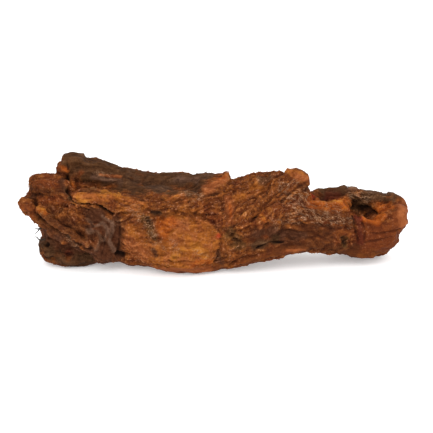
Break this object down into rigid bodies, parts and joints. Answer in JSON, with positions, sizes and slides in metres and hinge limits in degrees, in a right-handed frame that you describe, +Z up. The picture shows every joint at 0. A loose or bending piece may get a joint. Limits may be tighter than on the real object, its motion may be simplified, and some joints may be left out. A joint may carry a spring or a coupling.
{
  "type": "driftwood",
  "caption": "A weathered piece of driftwood lying on its side: fused root strands with a broken butt, a swollen belly, a raised knot and a hollowed tip",
  "frame": {"origin": "on the surface it stands on, below the middle of its bounding box", "axes": "+X runs along the piece from the broken butt to the worn tip, -Y faces the front with the swollen belly, +Z is up"},
  "size_m": [0.28, 0.0738, 0.0796],
  "materials": {
    "driftwood": "matt weathered grain, stained brown to orange"
  },
  "bodies": {
    "root": {"driftwood": "driftwood"}
  },
  "joints": []
}
